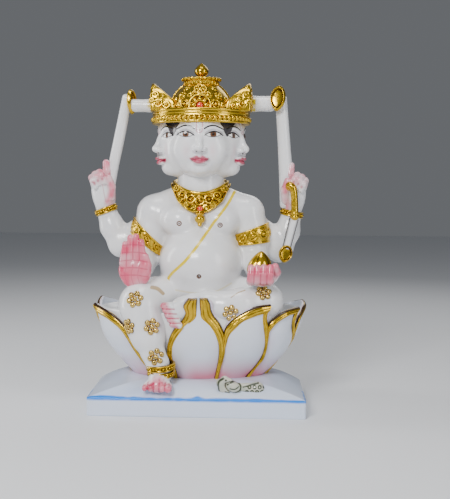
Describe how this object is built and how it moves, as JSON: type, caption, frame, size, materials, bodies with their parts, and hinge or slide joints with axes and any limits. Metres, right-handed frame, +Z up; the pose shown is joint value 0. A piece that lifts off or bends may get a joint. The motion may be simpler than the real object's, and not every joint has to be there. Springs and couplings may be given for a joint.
{
  "type": "seated idol figurine",
  "caption": "Seated three-faced, four-armed idol of painted white marble on a lotus seat and a plinth, with gilded crown and ornaments.",
  "frame": {"origin": "centre of the plinth's underside on the figure's axis, the face it rests on", "axes": "+Z up along the figure, +X to the viewer's right, and the front face looks along -Y"},
  "size_m": [0.2502, 0.1649, 0.382],
  "materials": {
    "white_marble": "polished white marble, faintly veined",
    "blushed_marble": "polished white marble tinted pink on palms, fingers and toes, with dark red lines",
    "gold_paint": "glossy gold leaf paint on carved marble, with brown in the hollows",
    "red_stone": "cut and polished red stone",
    "rosette_gilt": "dark gilt domes",
    "painted_marble": "marble painted pale grey-green with dark olive lines"
  },
  "bodies": {
    "root": {"plinth": "white_marble", "lotus_seat": "white_marble", "petal_1": "white_marble", "petal_2": "white_marble", "petal_3": "white_marble", "petal_4": "white_marble", "petal_5": "white_marble", "petal_6": "white_marble", "petal_7": "white_marble", "petal_8": "white_marble", "torso": "white_marble", "head_front": "white_marble", "head_right": "white_marble", "head_left": "white_marble", "right_arm": "white_marble", "left_arm": "white_marble", "right_back_arm": "white_marble", "left_back_arm": "white_marble", "right_leg": "white_marble", "left_leg": "white_marble", "right_staff": "white_marble", "left_staff": "white_marble", "right_strut": "white_marble", "left_strut": "white_marble", "hook_blade": "white_marble", "right_hand": "blushed_marble", "left_hand": "blushed_marble", "right_back_hand": "blushed_marble", "left_back_hand": "blushed_marble", "right_foot": "blushed_marble", "left_foot": "blushed_marble", "petal_ribbon_1": "gold_paint", "petal_ribbon_2": "gold_paint", "petal_ribbon_3": "gold_paint", "petal_ribbon_4": "gold_paint", "petal_ribbon_5": "gold_paint", "petal_ribbon_6": "gold_paint", "petal_ribbon_7": "gold_paint", "petal_ribbon_8": "gold_paint", "right_staff_cap": "gold_paint", "left_staff_cap": "gold_paint", "hook_handle": "gold_paint", "hook_chape": "gold_paint", "lotus_bud": "gold_paint", "crown_band": "gold_paint", "crown_dome": "gold_paint", "crown_tier": "gold_paint", "crown_finial": "gold_paint", "right_crown_peak": "gold_paint", "left_crown_peak": "gold_paint", "necklace": "gold_paint", "necklace_pendant": "gold_paint", "right_armlet": "gold_paint", "left_armlet": "gold_paint", "right_bracelet": "gold_paint", "left_bracelet": "gold_paint", "anklets": "gold_paint", "red_gems": "red_stone", "rosettes": "rosette_gilt", "peacock": "painted_marble"}
  },
  "joints": []
}
